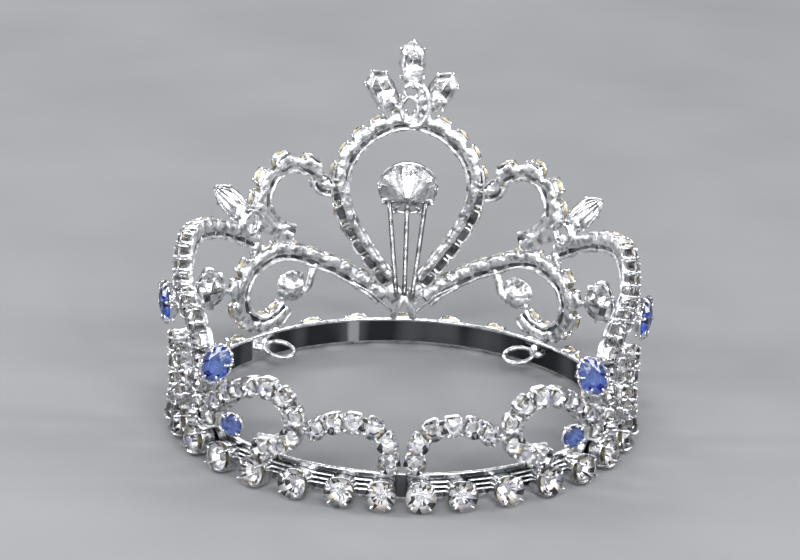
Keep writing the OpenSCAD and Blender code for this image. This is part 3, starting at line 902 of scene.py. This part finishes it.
def link_frame(width):
    """Small frame with two windows between two cups."""
    tall = 1.5
    bars = [tube([(-width / 2, y, 0), (width / 2, y, 0)], 0.19, 6) for y in (-tall / 2, 0, tall / 2)]
    bars += [tube([(x, -tall / 2, 0), (x, tall / 2, 0)], 0.21, 6) for x in (-width / 2, width / 2)]
    return moved(joined(*bars), Matrix.Diagonal((1, 1, 1.45, 1)))


def base_row(name, first, last):
    rng = random.Random(first)
    cups, stones = [], []
    for k in range(first, last + 1):
        m = place((row_angle(k), ROW_Z), ROW_R, 0, ROW_TIP)
        m = m @ Matrix.Rotation(0.07 * math.sin(5.1 * k), 4, "Z")
        cups.append(moved(ROW_CUP, m))
        stones.append(sparkled(moved(ROW_STONE, m @ Matrix.Rotation(1.3 * k, 4, "Z")), rng, CLEAR_SHARES))
    for k in range(first, last):
        a, b = row_angle(k), row_angle(k + 1)
        width = 2 * BAND_R * math.sin(math.radians(b - a) / 2) - 3.1
        cups.append(moved(link_frame(width), place(((a + b) / 2, ROW_Z + 1.1), BAND_R + 0.45)))
    metal_piece("row_" + name + "_cups", joined(*cups), ["base_row_" + name])
    clear_piece("row_" + name + "_stones", joined(*stones), ["base_row_" + name])


base_row("front", -3, 3)
base_row("left", 4, 10)
base_row("right", -10, -4)
base_row("back_left", 11, 15)
base_row("back_right", -15, -11)


# Chains
def wall_wire(places, r, radius, lumps=0.3):
    """Wire through places on the wall."""
    pts = [on_wall(a, z, r) for a, z in places]
    return drawn(tube(pts, [radius * (1 + lumps * uneven(p, 0.9)) for p in pts], 10))


def chain_pair(name, *args, extra=(), **kwargs):
    cups, stones = chain(*args, **kwargs)
    both(metal_piece, name + "_cups", joined(cups, *extra), name)
    both(clear_piece, name + "_stones", stones, name)


loop_metal, loop_stones = chain(FRONT, -1, pitch=3.4, both_sides=True, ends=(3.4, 3.4), trim=(1.7, 1.7),
                                seed=1.0, feet=21.0)
metal_piece("front_loop_cups", loop_metal, ["front_loop"])
clear_piece("front_loop_stones", loop_stones, ["front_loop"])

arm_line = wall_wire([(15.2, 11.3), (12.2, 10.2), (9.1, 9.1), (6.2, 7.5), (3.6, 6.0)], BACK_R, 0.24)
arm_webs = [web([(44.6, 18.6), (48.4, 18.4), (48, 20.6), (46.6, 21.6), (44.8, 20.4)], seed=1),
            web([(35.2, 17.6), (39.2, 18.2), (38.8, 19.6), (36.6, 20), (35, 19.4)], seed=2)]
chain_pair("arm", ARM, 1, ends=(1.0, 1.5), seed=2.0, extra=[arm_line, *arm_webs])

SHOULDER_CUPS = [(26.1, 28.2), (28.3, 32.6), (36.9, 33.9), (44.0, 31.6), (46.4, 28.0), (36.0, 21.1)]
shoulder_web = web([(46.9, 26.3), (42, 24.8), (37.4, 22.9), (33.4, 22.7), (34.2, 20.4), (35.2, 18.9),
                    (39, 19.5), (40.8, 21.4), (45.3, 22.6)], 0.6, 3, dome=0.1)
shoulder_lump = soldered(blob(on_wall(47, 27.1, BACK_R + 0.1), (0.9, 0.5, 0.9), 3))
chain_pair("shoulder", SHOULDER, 1, cups_at=SHOULDER_CUPS, seed=3.0, extra=[shoulder_web, shoulder_lump])
chain_pair("side_arch", SIDE_ARCH, 1, pitch=3.25, seed=4.0, cup_shape=TALL_CUP)
chain_pair("side_scroll", SCROLL, -1, r=BACK_R + 0.7, seed=5.0, cup_shape=TALL_CUP)
chain_pair("back_loop", BACK_LOOP, -1, pitch=3.3, seed=6.0, shape=PLAIN_BEAD, walls=SOLDERED)
chain_pair("back_arch", BACK_ARCH, -1, pitch=3.3, seed=7.0, shape=PLAIN_BEAD, walls=SOLDERED)


# Centre stone on its three wires
CENTRE_R = BACK_R + PAVILION * CENTRE_D + WALL
CENTRE_Z = 26.7
FOOT_R = BAND_R - 1
centre_m = place((0, CENTRE_Z), CENTRE_R, 0, 12)
CENTRE_CLAWS = [math.radians(a) for a in (4, 176, 212, 244, 296, 328)]
centre_cup = dome_setting(CENTRE_D, CONE, 8, 0.08, CENTRE_CLAWS, tall=1.25, r=0.36, rim=1.07, lip=0.5)
POST_R = 0.43
posts = []
for side, drop in ((-1, 2.7), (0, 3.7), (1, 2.7)):
    foot, top = (side * 1.35, -FOOT_R, 9.2), (side * 3, 0.8 - CENTRE_R, CENTRE_Z - drop)
    # The posts are in the darkened silver: painted shade and dark reflection on the wires.
    posts.append(made_of(line(foot, top, POST_R, 10, 0.06, 12), PAINTED_SHADE))
for side in (-1, 1):
    legs = [(side * 0.1, -FOOT_R, 9.1), (side * 0.9, 0.7 - BAND_R, 7.2), (side * 1.7, 0.3 - BAND_R, 5.35)]
    posts.append(soldered(tube(legs, [0.6, 0.55, 0.7], 10)))
posts.append(web([(-4.8, 10.6), (-2.5, 11), (0, 9.7), (2.5, 11), (4.8, 10.6), (5.6, 8.9), (3.4, 7.2),
                  (1.2, 8.3), (0, 8.6), (-1.2, 8.3), (-3.4, 7.2), (-5.6, 8.9)], 0.5, 5, r=BAND_R + 0.3))
metal_piece("centre_cup", moved(centre_cup, centre_m), ["centre_setting"])
metal_piece("centre_wires", joined(*posts), ["centre_setting"])
centre_gem = sparkled(round_gem(CENTRE_D, 16), random.Random(20), CLEAR_SHARES)
# The stone is a little smaller than its cup, so that its foil stays inside the folds
clear_piece("centre_gem", moved(centre_gem, centre_m @ Matrix.Scale(0.95, 4)), ["centre_stone"])


# Spray of three leaf stones on an upright ring
LEAF_R = BACK_R + 0.4 * LEAF_W + WALL
RING_R = BAND_R - 0.15
SPRAY_RING = (-1, 42.5)
SPRAY_HOOKS = (((-0.4, 45.9), (-0.4, 45.9)), ((-4.6, 41.6), (-4.6, 41.6)), ((3.4, 42), (5.2, 42.6)))
leaf_cup = leaf_setting()
leaf_stone = gem(pointed(LEAF_W, LEAF_L), 0.26 * LEAF_W, 0.17 * LEAF_W, 0.2)
LEAVES = {"top": place((0, 49), LEAF_R), "left": place((7.8, 44.3), LEAF_R, -30),
          "right": place((-7.8, 44.3), LEAF_R, 30)}
ring_m = place(SPRAY_RING, RING_R)
spray = [moved(leaf_cup, m) for m in LEAVES.values()]
spray.append(moved(soldered(hoop(3.4, 5.2, 0.75, 0.4)), ring_m @ shift(0.8, -0.9, 0.1)))
spray.append(moved(soldered(hoop(3.0, 3.1, 0.65, 0.4)), ring_m @ shift(0.6, 2.3, 0.1)))
RING_SIDE = [(0.6, -3.7, 0), (-1.0, -3.3, 0), (-2.1, -1.9, 0), (-2.4, 0, 0), (-2.1, 1.9, 0), (-1.2, 3.3, 0),
             (0.2, 3.9, 0)]
RING_LUMPS = [(-1.2, -2.0, 0.75), (-1.6, -0.6, 0.7), (-1.3, 0.9, 0.75), (-1.1, 2.2, 0.7), (0.2, -3.4, 0.7),
              (1.7, 1.2, 0.5)]
spray.append(moved(soldered(tube(RING_SIDE, 0.42)), ring_m))
for x, y, size in RING_LUMPS:
    spray.append(soldered(moved(blob((0, 0, 0), (size, size, 0.5), 3 * x), ring_m @ shift(x, y, 0.2))))
for start, end in SPRAY_HOOKS:
    spray.append(soldered(line(on_wall(*start, RING_R), on_wall(*end, BACK_R + 1.2), 0.6)))
    spray.append(soldered(blob(on_wall(*end, BACK_R + 0.1), (1.0, 0.5, 0.9), end[1])))
metal_piece("spray_cups", joined(*spray), ["spray_setting"])
for i, (key, m) in enumerate(LEAVES.items()):
    stone = sparkled(leaf_stone, random.Random(30 + i), CLEAR_SHARES)
    clear_piece("spray_gem_" + key, moved(stone, m), ["spray_stone_" + key])


# Single stones on each side
def single(name, cup_shape, stone_shape, matrix, stone_maker, extra=()):
    shares = BLUE_SHARES if stone_maker is blue_piece else CLEAR_SHARES
    stone = sparkled(stone_shape, random.Random(name), shares)
    both(metal_piece, name + "_cup", joined(moved(cup_shape, matrix), *extra), name + "_setting")
    both(stone_maker, name + "_gem", moved(stone, matrix), name + "_stone")


eye_r = BACK_R + PAVILION * ARM_EYE_D + WALL
single("arm_eye", soldered(dome_setting(ARM_EYE_D, BOWL, 9, 0.1, evenly(4))),
       round_gem(ARM_EYE_D), place((32.1, 11), eye_r), clear_piece,
       [soldered(wall_wire([(29.6, 10.4), (28.4, 11.2), (27.6, 13), (26.6, 15)], BACK_R + 0.5, 0.62))])

side_eye_r = BACK_R + PAVILION * SIDE_EYE_D + WALL
single("side_eye", bulb_setting(SIDE_EYE_D, 6), round_gem(SIDE_EYE_D),
       place((62.2, 14.8), side_eye_r), blue_piece,
       [soldered(line(on_wall(60, 14.4, BACK_R + 0.8), on_wall(55.1, 13.4, BACK_R + 0.8), 0.55, 6, 0.5)),
        web([(53.6, 12.4), (56.6, 12.6), (57.6, 14), (56.4, 15.6), (53.8, 15)], seed=6)])

drop_m = place((51.9, 27.8), BACK_R + PAVILION * OVAL_W + 1.4, -32, -30)
drop_ring = place((50.4, 25.1), RING_R)
single("drop", ribbed_setting(OVAL_W, DROP_L, PAVILION * OVAL_W + 0.1, 5, 0.16, evenly(6)),
       oval_gem(OVAL_W, DROP_L), drop_m, blue_piece,
       [moved(drawn(hoop(4.7, 4.7, 1.0, 0.4)), drop_ring),
        moved(soldered(hoop(4.8, 4.6, 1.1, 0.7)), drop_ring @ shift(0.1, 0, 0.5)),
        soldered(blob(on_wall(50.2, 24.2, BAND_R + 0.3), (0.5, 0.4, 0.5), 8)),
        soldered(line(on_wall(48, 26.2, RING_R), on_wall(50, 27, BACK_R + 0.6), 0.45)),
        web([(51.4, 26.2), (54, 25.6), (55.2, 27), (53.6, 28.4), (51.8, 27.8)], seed=8)])

SIDE_OVAL_R = BACK_R + 3.7
side_stem_r = SIDE_OVAL_R - 1.2
single("side_oval", oval_setting(OVAL_W, OVAL_L, PAVILION * OVAL_W, evenly(6, 0), tall=0.7, r=0.32),
       oval_gem(OVAL_W, OVAL_L), place((94.6, 19.6), SIDE_OVAL_R, 15, 0, 20), blue_piece,
       [soldered(line(on_wall(94.3, 21.9, side_stem_r), on_wall(94.3, 22.75, side_stem_r), 0.45))])

back_eye_r = BACK_R + PAVILION * BACK_EYE_D + WALL
single("back_eye", dome_setting(BACK_EYE_D, BOWL, 8, 0.08, evenly(4), r=0.24, lip=0.3),
       round_gem(BACK_EYE_D), place((134, 8.4), back_eye_r, 0, 0, 18), blue_piece)

back_oval_r = BACK_R + PAVILION * OVAL_W + WALL
single("back_oval", oval_setting(OVAL_W, OVAL_L, PAVILION * OVAL_W, evenly(6), 14, 0.07, 0.8),
       oval_gem(OVAL_W, OVAL_L), place((128.4, 17.1), back_oval_r, -34, 5, 24), blue_piece,
       [soldered(line(on_wall(128.8, 14.1, BACK_R + 1), on_wall(129.2, 15.4, BACK_R + 1), 0.45))])


# Floor, light and camera
def stage_floor():
    mesh = bpy.data.meshes.new("floor")
    h = 1.6
    mesh.from_pydata([(-h, -h, 0), (h, -h, 0), (h, h, 0), (-h, h, 0)], [], [(0, 1, 2, 3)])
    mat = emptied(bpy.data.materials.new("floor_pale"))
    pale = ramp(noise_node(millimetres(mat), 0.02, 2.0), [(0.3, (0.25, 0.255, 0.265)),
                                                          (0.7, (0.28, 0.285, 0.295))])
    mesh.materials.append(surfaced(mat, Base_Color=pale, Roughness=0.9, Specular_IOR_Level=0.1))
    obj = new_object("floor", mesh)


AIM = (0, 0, 0.02)


def area_light(name, position, size, power, target=AIM):
    data = bpy.data.lights.new(name, "AREA")
    data.shape = "RECTANGLE"
    data.size, data.size_y = size
    data.energy = power
    obj = new_object(name, data)
    obj.location = position
    obj.rotation_euler = (Vector(target) - Vector(position)).to_track_quat("-Z", "Y").to_euler()


WORLD_PANELS = 6


def math_node(operation, value, amount=0.0):
    made = node(value.id_data, "ShaderNodeMath")
    made.operation = operation
    made.id_data.links.new(value, made.inputs[0])
    made.inputs[1].default_value = amount
    return made.outputs["Value"]


def world_light():
    """Studio surround: a ring of tall pale panels with dark gaps, so that metal and stones keep
    contrast."""
    world = emptied(bpy.data.worlds.new("studio"))
    bpy.context.scene.world = world
    tree = world.node_tree
    coords = node(tree, "ShaderNodeTexCoord").outputs["Generated"]
    height = node(tree, "ShaderNodeSeparateXYZ", Vector=coords).outputs["Z"]
    around = node(tree, "ShaderNodeTexGradient", Vector=coords)
    around.gradient_type = "RADIAL"
    share = math_node("FRACT", math_node("MULTIPLY", around.outputs["Fac"], WORLD_PANELS))
    gap, panel = (0.05, 0.05, 0.06), (1, 1, 1)
    panels = ramp(share, [(0.0, gap), (0.2, gap), (0.25, panel), (0.75, panel), (0.8, gap)])
    sky = ramp(height, [(0.03, (0.03, 0.03, 0.035)), (0.1, (0.3, 0.3, 0.31)), (0.3, (1, 1, 1)),
                        (0.55, (0.8, 0.8, 0.82)), (0.7, (0.12, 0.12, 0.13)), (1.0, (0.3, 0.3, 0.31))])
    both_ways = node(tree, "ShaderNodeMix", Factor=1.0)
    both_ways.data_type = "RGBA"
    both_ways.blend_type = "MULTIPLY"
    tree.links.new(sky, both_ways.inputs[6])
    tree.links.new(panels, both_ways.inputs[7])
    back = node(tree, "ShaderNodeBackground", Color=both_ways.outputs[2], Strength=1.5)
    node(tree, "ShaderNodeOutputWorld", Surface=back.outputs["Background"])


# The camera's distance and its sideways and upward shift in millimetres, its focal length in pixels
CAMERA_FAR = 420
CAMERA_SHIFT = (-0.22, 22.106)
FOCAL_PIXELS, PHOTO_WIDTH = 2646.756, 800


def solved_camera():
    """Camera at the photograph's angle: azimuth, elevation, roll and focal length as solved from it."""
    az, el, roll = math.radians(179.6), math.radians(19.439), math.radians(2.103)
    back = Vector((math.sin(az) * math.cos(el), -math.cos(az) * math.cos(el), math.sin(el)))
    right0 = (-back).cross(Vector((0, 0, 1))).normalized()
    up0 = right0.cross(-back)
    right = right0 * math.cos(roll) + up0 * math.sin(roll)
    up = up0 * math.cos(roll) - right0 * math.sin(roll)
    m = Matrix((right, up, back)).transposed().to_4x4()
    m.translation = (back * CAMERA_FAR + right * CAMERA_SHIFT[0] + up * CAMERA_SHIFT[1]) * MM
    data = bpy.data.cameras.new("camera")
    data.sensor_fit = "HORIZONTAL"
    data.sensor_width = 36
    data.lens = FOCAL_PIXELS * data.sensor_width / PHOTO_WIDTH
    data.clip_start = 0.01
    data.clip_end = 20
    obj = new_object("camera", data)
    obj.matrix_world = m
    bpy.context.scene.camera = obj


stage_floor()
world_light()
area_light("key", (-0.05, 0.5, 0.42), (0.5, 0.14), 2.4)
for side, name in ((1, "left"), (-1, "right")):
    area_light("strip_" + name, (side * 0.3, 0.48, 0.2), (0.07, 0.32), 0.6)
    area_light("side_" + name, (side * 0.55, 0.0, 0.3), (0.12, 0.4), 2.2)
area_light("rim", (0.1, -0.6, 0.35), (0.5, 0.12), 2.0, (0, 0, 0.03))
area_light("front", (0, 0.55, 0.06), (0.7, 0.1), 0.85, (0, 0, 0.03))
SPARKS = [(0.2, 0.5, 0.3), (-0.2, 0.5, 0.28), (0.05, 0.4, 0.6), (-0.12, 0.5, 0.14), (0.1, 0.5, 0.12)]
for i, at in enumerate(SPARKS):
    area_light("spark_%d" % i, at, (0.02, 0.02), 0.3)
solved_camera()
bpy.context.scene.view_settings.view_transform = "Standard"
